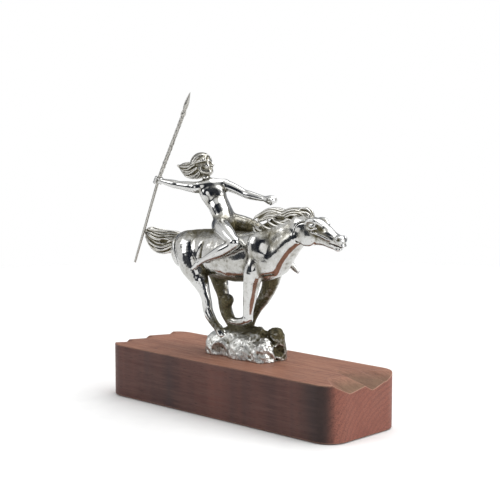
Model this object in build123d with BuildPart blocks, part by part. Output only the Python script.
"""Horse-and-rider hood ornament, displayed on a hardwood plinth.

Frame: millimetres, +Z up, origin at the middle of the plinth's underside.
+X is the way the horse gallops, along the plinth, and +Y is to the horse's left.
Right and left are the horse's and the rider's own: the spear is on the right, at -Y.

Every casting is lofted through ellipses set square to its own centre line, then trimmed
by the casting that carries it, so that neighbours meet face to face.
"""

import os
from math import radians, tan

from build123d import *

# ---------------------------------------------------------------- driving dimensions
plinth_length = 200.0
plinth_width = 66.0
plinth_height = 35.0
plinth_corner_radius = 13.5
plinth_edge_radius = 0.8

# hand-carved flutes in the top, deeper at the horse's nose end:
# (end, centre in Y, run, depth, slope of the side toward -Y and toward +Y in degrees)
flute_bottom_radius = 6.0
flute_reach = 60.0  # how far each side of a flute is drawn, past the plinth's edge
flutes = [
    (1, -16.0, 18.0, 6.3, 21.0, 9.0),
    (1, 5.0, 34.0, 7.7, 28.0, 16.0),
    (1, 18.0, 22.0, 4.7, 10.0, 29.0),
    (-1, -16.5, 12.0, 3.2, 10.0, 35.0),
    (-1, 2.6, 11.0, 2.4, 6.0, 35.0),
    (-1, 23.6, 11.0, 2.9, 7.0, 35.0),
]

stud_diameter = 6.0
stud_clearance_diameter = 6.6
stud_engagement = 7.0
stud_chamfer = 0.5
counterbore_diameter = 22.0
counterbore_depth = 12.0
washer_diameter = 16.0
washer_thickness = 1.2
nut_across_flats = 10.0
nut_thickness = 5.0
stud_tail = 2.0  # thread showing past the nut

horse_width = 27.0  # barrel, side to side
horse_knee_radius = 3.6
fetlock_radius = 3.2
withers_height = 116.0
right_legs_y = -9.0  # Y of the horse's right legs
left_legs_y = 8.0  # Y of the horse's left legs

spear_plane = -15.0  # Y of the spear
spear_upper_diameter = 2.6
spear_lower_diameter = 2.0
spear_end_diameter = 1.4
spear_point_diameter = 3.2
spear_socket_length = 4.0
spear_socket_lip = 0.3  # how far the socket's mouth stands proud of the shaft
spear_tip_radius = 0.35

rock_bottom = plinth_height

spigot_diameter = 4.0  # locates the horse's limbs and the rider's seat
spigot_length = 6.0
peg_radius = 1.4  # locates the rider's head and limbs
peg_length = 4.0
rider_knee_radius = 3.4

sideways = Vector(0, 1, 0)
rider_across = Vector(13, 15, 2).normalized()  # right shoulder to left shoulder


# ---------------------------------------------------------------- helpers
def centre_line_planes(points, across):
    """Planes square to a centre line, each with its X along the across direction."""
    planes = []
    for index, point in enumerate(points):
        before = points[max(index - 1, 0)]
        after = points[min(index + 1, len(points) - 1)]
        planes.append(Plane(origin=point, x_dir=across, z_dir=(after - before).normalized()))
    return planes


def square_across(points, across):
    """The across direction with the part that lies along the centre line taken out."""
    run = (points[-1] - points[0]).normalized()
    return (across - run * across.dot(run)).normalized()


def loft_limb(stations, across=sideways):
    """Add a loft through ellipses to the part being built.

    A station is (x, y, z, half width along across, half depth).
    """
    points = [Vector(*station[:3]) for station in stations]
    sections = []
    for plane, station in zip(centre_line_planes(points, square_across(points, across)), stations):
        with BuildSketch(plane) as section:
            Ellipse(station[3], station[4])
        sections.append(section.sketch)
    loft(sections=sections)


def round_off(station, radius):
    """Close a limb's end with a ball."""
    with Locations(station[:3]):
        Sphere(radius)


def rod(start, end, start_radius, end_radius, mode=Mode.ADD):
    """A straight tapered rod from one point to another."""
    run = Vector(*end) - Vector(*start)
    lower = Plane(origin=start, z_dir=run)
    with BuildSketch(lower) as first:
        Circle(start_radius)
    with BuildSketch(lower.offset(run.length)) as last:
        Circle(end_radius)
    loft(sections=[first.sketch, last.sketch], mode=mode)


def spigot(start, end, mode=Mode.ADD):
    """The round peg that locates one casting in another, or the hole for it."""
    rod(start, end, spigot_diameter / 2, spigot_diameter / 2, mode)


def peg_end(start, toward, length):
    """The far end of a peg that sets off from start toward another point."""
    run = (Vector(*toward) - Vector(*start)).normalized()
    return tuple(Vector(*start) + run * length)


def drop_offcuts(casting):
    """Keep the main solid of a casting whose trimming has cut a corner loose."""
    for offcut in casting.solids().sort_by(SortBy.VOLUME)[:-1]:
        add(offcut, mode=Mode.SUBTRACT)


# ---------------------------------------------------------------- plinth
with BuildPart() as plinth:
    with BuildSketch():
        RectangleRounded(plinth_length, plinth_width, plinth_corner_radius)
    extrude(amount=plinth_height)
    fillet(plinth.faces().sort_by(Axis.Z)[-1].edges(), plinth_edge_radius)
    fillet(plinth.faces().sort_by(Axis.Z)[0].edges(), plinth_edge_radius)
    for end, flute_y, flute_run, flute_depth, right_slope, left_slope in flutes:
        flute_end = Plane(
            origin=(end * plinth_length / 2, flute_y, plinth_height - flute_depth),
            x_dir=(0, 1, 0),
            z_dir=(flute_run, 0, -end * flute_depth),
        )
        with BuildSketch(flute_end) as flute:
            with BuildLine():
                Polyline(
                    (0, 0),
                    (flute_reach, flute_reach * tan(radians(left_slope))),
                    (flute_reach, flute_reach),
                    (-flute_reach, flute_reach),
                    (-flute_reach, flute_reach * tan(radians(right_slope))),
                    close=True,
                )
            make_face()
            fillet(flute.vertices().sort_by(Axis.Y)[0], flute_bottom_radius)
        extrude(amount=2 * flute_run, both=True, mode=Mode.SUBTRACT)
    with Locations(Location((0, 0, 0), (180, 0, 0))):
        CounterBoreHole(
            radius=stud_clearance_diameter / 2,
            counter_bore_radius=counterbore_diameter / 2,
            counter_bore_depth=counterbore_depth,
        )

# ---------------------------------------------------------------- horse body
barrel_line = [
    (-64, 0, 102.5, 3.5, 4.5),
    (-60, 0, 101.5, 9.0, 9.5),
    (-48, 0, 101.0, 12.5, 14.0),
    (-30, 0, 100.5, horse_width / 2, 15.0),
    (-10, 0, 100.0, horse_width / 2, 15.8),
    (8, 0, withers_height - 16.5, 13.0, 16.5),
    (19, 0, 98.5, 11.5, 14.5),
    (27.5, 0, 97.0, 6.0, 7.0),
]
neck_line = [
    (8, 0, 101.0, 9.5, 13.0),
    (20, 0, 107.0, 9.0, 13.0),
    (31, 0, 113.5, 7.5, 11.5),
    (42, 0, 120.5, 6.2, 9.8),
    (50, 0, 123.0, 5.5, 8.0),
]
head_line = [
    (44, 0, 121.8, 4.5, 6.5),
    (50, 0, 121.0, 6.4, 9.2),
    (58, 0, 119.8, 6.6, 8.8),
    (66, 0, 118.2, 5.0, 6.6),
    (74, 0, 116.0, 4.2, 5.2),
    (79, 0, 114.4, 4.0, 4.9),
    (82, 0, 113.4, 2.2, 2.6),
]

leg_pegs = {  # (start in the leg, end in the body)
    "right_hind": ((-45, -13.5, 97), (-45, -7.5, 98)),
    "left_hind": ((-42, 13.0, 96), (-42, 7.0, 97)),
    "right_fore": ((12, -12.8, 95), (12, -6.8, 96)),
    "left_fore": ((14.5, 12.2, 93), (14.5, 6.2, 94)),
}
tail_peg = (-66, -0.5, 103.5)
tail_peg_end = peg_end(tail_peg, (-40, 0, 102), spigot_length)
seat_peg = (-19, 0, 121)
seat_peg_end = (-18, 0, 109)

with BuildPart() as horse_body:
    loft_limb(barrel_line)
    loft_limb(neck_line)
    loft_limb(head_line)
    for peg_start, peg_stop in [*leg_pegs.values(), (tail_peg, tail_peg_end), (seat_peg, seat_peg_end)]:
        spigot(peg_start, peg_stop, mode=Mode.SUBTRACT)

# ---------------------------------------------------------------- horse's legs
right_hind_line = [
    (-46, right_legs_y + 1, 103, 5.0, 9.5),
    (-43, right_legs_y - 0.5, 96, 6.5, 12.5),
    (-38, right_legs_y - 1, 88, 6.0, 9.5),
    (-31.5, right_legs_y - 1, 76, 4.2, 5.2),
    (-27.4, right_legs_y, 65, 3.0, 3.6),
    (-24.5, right_legs_y, 58.5, 2.6, 3.0),
    (-20.5, right_legs_y, 53, 2.8, 3.0),
    (-16.5, right_legs_y, 48.5, 3.2, 3.6),
]
left_hind_line = [
    (-43, left_legs_y - 1, 103, 5.0, 9.5),
    (-40, left_legs_y, 95, 6.5, 11.5),
    (-35, left_legs_y + 1, 86, 6.0, 8.5),
    (-31, left_legs_y + 1, 75, 4.2, 5.2),
    (-30.5, left_legs_y, 63, 3.0, 3.8),
    (-26.5, left_legs_y, 57.5, 2.6, 3.0),
    (-21, left_legs_y, 52.5, 2.8, 3.0),
    (-16.5, left_legs_y, 48, 3.2, 3.6),
]
right_fore_line = [
    (13, right_legs_y + 1, 99, 4.0, 8.0),
    (12, right_legs_y, 92, 5.0, 7.5),
    (11, right_legs_y, 84, 4.4, 5.2),
    (9.5, right_legs_y, 74, 3.6, 4.0),
    (8.5, right_legs_y, 66, 3.2, 3.6),
    (8.0, right_legs_y, 61, 3.2, 3.6),
]
right_cannon_line = [
    (8.0, right_legs_y, 60.5, 3.0, 3.2),
    (2.5, right_legs_y, 58.8, 2.4, 2.6),
    (-4.5, right_legs_y, 59.6, 2.3, 2.4),
]
right_hoof_line = [
    (-5.5, right_legs_y, 60.5, 2.2, 2.4),
    (-7.5, right_legs_y, 64.5, 2.4, 2.6),
    (-6.5, right_legs_y, 69, 3.0, 3.2),
    (-5.0, right_legs_y, 74, 3.4, 3.6),
]
left_fore_line = [
    (15.5, left_legs_y, 97, 4.5, 8.0),
    (13, left_legs_y + 0.5, 90, 5.0, 7.5),
    (10.5, left_legs_y, 80, 4.2, 5.2),
    (5.8, left_legs_y, 70, 3.6, 4.0),
    (-0.5, left_legs_y - 1, 61, 3.0, 3.4),
    (-4.0, left_legs_y - 2, 53, 3.4, 3.8),
]

with BuildPart() as right_hind_leg:
    loft_limb(right_hind_line)
    add(horse_body.part, mode=Mode.SUBTRACT)
    drop_offcuts(right_hind_leg)
    spigot(*leg_pegs["right_hind"])

with BuildPart() as left_hind_leg:
    loft_limb(left_hind_line)
    add(horse_body.part, mode=Mode.SUBTRACT)
    drop_offcuts(left_hind_leg)
    spigot(*leg_pegs["left_hind"])

with BuildPart() as right_foreleg:
    loft_limb(right_fore_line)
    loft_limb(right_cannon_line)
    round_off(right_cannon_line[0], horse_knee_radius)
    loft_limb(right_hoof_line)
    round_off(right_hoof_line[0], fetlock_radius)
    add(horse_body.part, mode=Mode.SUBTRACT)
    drop_offcuts(right_foreleg)
    spigot(*leg_pegs["right_fore"])

with BuildPart() as left_foreleg:
    loft_limb(left_fore_line)
    add(horse_body.part, mode=Mode.SUBTRACT)
    drop_offcuts(left_foreleg)
    spigot(*leg_pegs["left_fore"])

# ---------------------------------------------------------------- rock casting
front_rock_top = rock_bottom + 13.0
back_rock_top = rock_bottom + 21.0
mound_top = rock_bottom + 23.0

with BuildPart() as rock_casting:
    with BuildSketch(Plane.XY.offset(rock_bottom)) as front_foot:
        with BuildLine():
            Polyline((-28.5, -9), (-12, -13.5), (10, -14), (23, -12), (26, -4), (18, 8), (-10, 14), (-26, 10), close=True)
        make_face()
        fillet(front_foot.vertices(), 4)
    with BuildSketch(Plane.XY.offset(front_rock_top)) as front_crown:
        with BuildLine():
            Polyline((-27, -6), (-12, -11), (9, -12), (20, -10), (22, -3), (16, 6), (-9, 12), (-23, 7), close=True)
        make_face()
        fillet(front_crown.vertices(), 3)
    loft()
    with BuildSketch(Plane.XY.offset(rock_bottom)) as back_foot:
        with BuildLine():
            Polyline((10, 0), (20, -5), (31, -1), (31.5, 6.5), (24.5, 14.5), (12, 15), close=True)
        make_face()
        fillet(back_foot.vertices(), 4)
    with BuildSketch(Plane.XY.offset(back_rock_top)) as back_crown:
        with BuildLine():
            Polyline((12, 1), (20, -3), (28, 0), (29, 5.5), (23.5, 12.5), (14, 12.5), close=True)
        make_face()
        fillet(back_crown.vertices(), 2)
    loft()
    with BuildSketch(Plane.XY.offset(rock_bottom + 6.0)):
        with Locations((-3, 0)):
            Ellipse(20, 12)
    with BuildSketch(Plane.XY.offset(mound_top)):
        with Locations((0, 0)):
            Ellipse(7, 7)
    loft()
    with Locations((0, 0, rock_bottom)):
        Cylinder(
            stud_diameter / 2,
            stud_engagement,
            align=(Align.CENTER, Align.CENTER, Align.MIN),
            mode=Mode.SUBTRACT,
        )
    for leg in (right_hind_leg, left_hind_leg, right_foreleg, left_foreleg):
        add(leg.part, mode=Mode.SUBTRACT)
    drop_offcuts(rock_casting)

# ---------------------------------------------------------------- mane and tail
mane_line = [
    (47, 0, 130.5, 1.6, 2.0),
    (40, 0, 130.5, 3.2, 3.8),
    (31, -1, 128.5, 3.6, 4.4),
    (22, -2, 126.5, 3.4, 4.8),
    (14, -2.5, 125, 2.8, 3.6),
    (8, -3, 125, 1.2, 1.4),
]
mane_root_line = [
    (42, 0, 126, 2.4, 4.0),
    (30, -0.5, 122.5, 2.6, 5.0),
    (18, -1, 117.5, 2.4, 4.0),
]
tail_line = [
    (-65, -0.5, 105, 3.0, 3.4),
    (-70, -3, 104.5, 3.8, 6.0),
    (-75, -6.2, 104.3, 4.0, 6.8),
    (-79, -9, 106, 3.2, 5.8),
    (-81.5, -11, 109.3, 2.0, 3.4),
    (-82.4, -12, 112, 0.7, 0.9),
]

with BuildPart() as mane:
    loft_limb(mane_line)
    loft_limb(mane_root_line)
    add(horse_body.part, mode=Mode.SUBTRACT)

with BuildPart() as tail:
    loft_limb(tail_line)
    add(horse_body.part, mode=Mode.SUBTRACT)
    spigot(tail_peg, tail_peg_end)

# ---------------------------------------------------------------- rider's torso
torso_line = [
    (-18, 0, 113, 6.5, 5.0),
    (-19, 0, 119, 8.0, 6.6),
    (-21, 0, 124, 7.0, 5.4),
    (-24, 0, 129.5, 6.2, 4.4),
    (-28, 0, 135, 7.4, 5.0),
    (-31, -0.5, 139.5, 8.4, 5.2),
    (-33, -0.8, 143.5, 7.4, 4.0),
    (-34, -1, 146.5, 3.4, 2.8),
]
neck_peg = (-34.9, -1, 148)
neck_peg_end = (-33.8, -1, 143.4)
right_shoulder = (-38.5, -8, 142.6)
left_shoulder = (-26, 7, 144.4)
shoulder_middle = (-32, -0.5, 143)
shoulder_line = [
    (*right_shoulder, 3.2, 3.2),
    (*shoulder_middle, 4.0, 4.0),
    (*left_shoulder, 3.2, 3.2),
]
right_shoulder_peg_end = peg_end(right_shoulder, shoulder_middle, peg_length)
left_shoulder_peg_end = peg_end(left_shoulder, shoulder_middle, peg_length)
right_hip = (-15, -10, 118)
left_hip = (-15, 10, 118.5)
pelvis_middle = (-19.5, 0, 120)
right_hip_peg_end = peg_end(right_hip, pelvis_middle, peg_length)
left_hip_peg_end = peg_end(left_hip, pelvis_middle, peg_length)

with BuildPart() as rider_torso:
    loft_limb(torso_line, rider_across)
    loft_limb(shoulder_line, Vector(0, 0, 1))
    add(horse_body.part, mode=Mode.SUBTRACT)
    spigot(seat_peg, seat_peg_end)
    rod(neck_peg, neck_peg_end, peg_radius, peg_radius, mode=Mode.SUBTRACT)
    for peg_start, peg_stop in [
        (right_shoulder, right_shoulder_peg_end),
        (left_shoulder, left_shoulder_peg_end),
        (right_hip, right_hip_peg_end),
        (left_hip, left_hip_peg_end),
    ]:
        rod(peg_start, peg_stop, peg_radius, peg_radius, mode=Mode.SUBTRACT)

# ---------------------------------------------------------------- rider's head
head_facing_across = Vector(0.25, 1, 0).normalized()
neck_column = [
    (-34.8, -1, 145, 2.7, 2.7),
    (-35.6, -1, 148, 2.4, 2.5),
    (-37.3, -1, 152.5, 2.6, 3.0),
]
skull_line = [
    (-36.2, -1, 150.5, 2.2, 2.6),
    (-36.6, -1, 153, 4.0, 4.6),
    (-37.8, -1, 157, 5.2, 6.0),
    (-39.0, -1, 161, 5.4, 6.2),
    (-40.2, -1, 164.2, 4.2, 4.8),
    (-40.8, -1, 166, 1.8, 2.0),
]
hair_line = [
    (-42.5, -1.5, 156, 3.8, 5.6),
    (-47.5, -2.5, 153.6, 3.8, 5.2),
    (-52.5, -3.5, 153.6, 2.8, 4.0),
    (-58, -4.5, 155.8, 0.9, 1.3),
]

with BuildPart() as rider_head:
    loft_limb(neck_column, head_facing_across)
    loft_limb(skull_line, head_facing_across)
    loft_limb(hair_line)
    add(rider_torso.part, mode=Mode.SUBTRACT)
    drop_offcuts(rider_head)
    rod(neck_peg, neck_peg_end, peg_radius, peg_radius)

# ---------------------------------------------------------------- rider's arms and spear
spear_hand = (-66.5, spear_plane, 146.2)
spear_point_base = (-41.7, spear_plane, 190.6)
spear_tip = (-35.3, spear_plane, 204.5)
spear_lower_end = (-90.7, spear_plane, 89.4)

right_arm_line = [
    (-38.5, -8, 142.8, 3.0, 3.4),
    (-45, -9.8, 143.4, 2.9, 3.2),
    (-52, -11.6, 144.2, 2.7, 2.8),
    (-58, -13, 145.2, 2.3, 2.4),
    (-63, -14.2, 146, 1.9, 1.9),
    (-66, -14.8, 146.2, 2.2, 2.2),
]
left_arm_line = [
    (-26, 7, 144.4, 3.2, 3.5),
    (-19, 8.2, 142.6, 3.1, 3.3),
    (-10, 10, 139.2, 2.9, 3.0),
    (-1, 11.3, 137.0, 2.5, 2.5),
    (6.6, 12, 136.2, 2.0, 2.0),
]
right_fist_radius = 3.0
left_fist = (11.0, 12.1, 135.6)
left_wrist_radius = 2.2
left_fist_radius = 3.0

with BuildPart() as rider_right_arm:
    loft_limb(right_arm_line)
    with Locations(spear_hand):
        Sphere(right_fist_radius)
    add(rider_torso.part, mode=Mode.SUBTRACT)
    rod(right_shoulder, right_shoulder_peg_end, peg_radius, peg_radius)
    rod(spear_hand, spear_point_base, spear_upper_diameter / 2, spear_upper_diameter / 2, Mode.SUBTRACT)
    rod(spear_hand, spear_lower_end, spear_lower_diameter / 2, spear_end_diameter / 2, Mode.SUBTRACT)

with BuildPart() as rider_left_arm:
    loft_limb(left_arm_line)
    rod(left_arm_line[-1][:3], left_fist, left_wrist_radius, left_fist_radius)
    round_off(left_fist, left_fist_radius)
    add(rider_torso.part, mode=Mode.SUBTRACT)
    rod(left_shoulder, left_shoulder_peg_end, peg_radius, peg_radius)

with BuildPart() as spear_shaft_lower:
    rod(spear_hand, spear_lower_end, spear_lower_diameter / 2, spear_end_diameter / 2)
    rod(spear_hand, spear_point_base, spear_upper_diameter / 2, spear_upper_diameter / 2, Mode.SUBTRACT)

with BuildPart() as spear_shaft_upper:
    rod(spear_hand, spear_point_base, spear_upper_diameter / 2, spear_upper_diameter / 2)

spear_run = Vector(*spear_tip) - Vector(*spear_point_base)
spear_socket = Vector(*spear_point_base) - spear_run.normalized() * spear_socket_length
with BuildPart() as spear_point:
    rod(tuple(spear_socket), spear_point_base, spear_upper_diameter / 2 + spear_socket_lip, spear_point_diameter / 2)
    rod(spear_point_base, spear_tip, spear_point_diameter / 2, spear_tip_radius)
    add(spear_shaft_upper.part, mode=Mode.SUBTRACT)

# ---------------------------------------------------------------- rider's legs
right_leg_line = [
    (-19, -4, 119, 4.6, 5.6),
    (-13, -8.5, 117.6, 5.0, 6.0),
    (-5, -12, 114.8, 4.8, 5.6),
    (1.5, -14.4, 111.8, 4.0, 4.6),
    (5, -15.4, 110, 3.4, 3.8),
]
right_shin_line = [
    (5, -15.4, 109.6, 3.4, 3.8),
    (-2, -17, 106, 3.7, 4.2),
    (-10, -17.5, 102.6, 3.5, 3.9),
    (-18, -17.8, 98.8, 2.6, 2.8),
    (-24, -17.8, 96, 2.2, 2.6),
    (-31, -17.5, 91.5, 1.8, 2.6),
]
left_leg_line = [
    (-19, 4, 119.5, 4.6, 5.6),
    (-13, 8.5, 118.6, 5.0, 5.8),
    (-5, 12.5, 116, 4.8, 5.4),
    (2, 15, 113, 4.0, 4.6),
    (5.5, 15.8, 111, 3.4, 4.0),
]
left_shin_line = [
    (5.5, 15.8, 110.6, 3.4, 4.0),
    (10, 16.2, 106, 3.7, 4.2),
    (15.5, 16.6, 101, 3.2, 3.5),
    (21.5, 17, 96, 2.3, 2.6),
    (28.5, 17.5, 91, 1.8, 2.4),
]

with BuildPart() as rider_right_leg:
    loft_limb(right_leg_line)
    round_off(right_leg_line[-1], rider_knee_radius)
    loft_limb(right_shin_line)
    add(horse_body.part, mode=Mode.SUBTRACT)
    add(right_hind_leg.part, mode=Mode.SUBTRACT)
    add(rider_torso.part, mode=Mode.SUBTRACT)
    drop_offcuts(rider_right_leg)
    rod(right_hip, right_hip_peg_end, peg_radius, peg_radius)

with BuildPart() as rider_left_leg:
    loft_limb(left_leg_line)
    round_off(left_leg_line[-1], rider_knee_radius)
    loft_limb(left_shin_line)
    add(horse_body.part, mode=Mode.SUBTRACT)
    add(left_foreleg.part, mode=Mode.SUBTRACT)
    add(rider_torso.part, mode=Mode.SUBTRACT)
    add(rider_right_leg.part, mode=Mode.SUBTRACT)
    drop_offcuts(rider_left_leg)
    rod(left_hip, left_hip_peg_end, peg_radius, peg_radius)

# ---------------------------------------------------------------- fastening under the plinth
nut_bottom = counterbore_depth - washer_thickness - nut_thickness
stud_bottom = nut_bottom - stud_tail

with BuildPart() as mounting_stud:
    with Locations((0, 0, stud_bottom)):
        Cylinder(
            stud_diameter / 2,
            rock_bottom + stud_engagement - stud_bottom,
            align=(Align.CENTER, Align.CENTER, Align.MIN),
        )
    chamfer(mounting_stud.edges().filter_by(GeomType.CIRCLE), stud_chamfer)

with BuildPart() as stud_washer:
    with BuildSketch(Plane.XY.offset(counterbore_depth - washer_thickness)):
        Circle(washer_diameter / 2)
        Circle(stud_clearance_diameter / 2, mode=Mode.SUBTRACT)
    extrude(amount=washer_thickness)

with BuildPart() as stud_nut:
    with BuildSketch(Plane.XY.offset(nut_bottom)):
        RegularPolygon(nut_across_flats / 2, 6, major_radius=False)
        Circle(stud_diameter / 2, mode=Mode.SUBTRACT)
    extrude(amount=nut_thickness)

# ---------------------------------------------------------------- write the pieces
pieces = {
    "plinth": plinth,
    "rock_casting": rock_casting,
    "horse_body": horse_body,
    "right_hind_leg": right_hind_leg,
    "left_hind_leg": left_hind_leg,
    "right_foreleg": right_foreleg,
    "left_foreleg": left_foreleg,
    "mane": mane,
    "tail": tail,
    "rider_torso": rider_torso,
    "rider_head": rider_head,
    "rider_right_arm": rider_right_arm,
    "rider_left_arm": rider_left_arm,
    "rider_right_leg": rider_right_leg,
    "rider_left_leg": rider_left_leg,
    "spear_shaft_upper": spear_shaft_upper,
    "spear_shaft_lower": spear_shaft_lower,
    "spear_point": spear_point,
    "mounting_stud": mounting_stud,
    "stud_washer": stud_washer,
    "stud_nut": stud_nut,
}

os.makedirs("parts", exist_ok=True)
for name, piece in pieces.items():
    piece.part.label = name
    export_step(piece.part, f"parts/{name}.step")
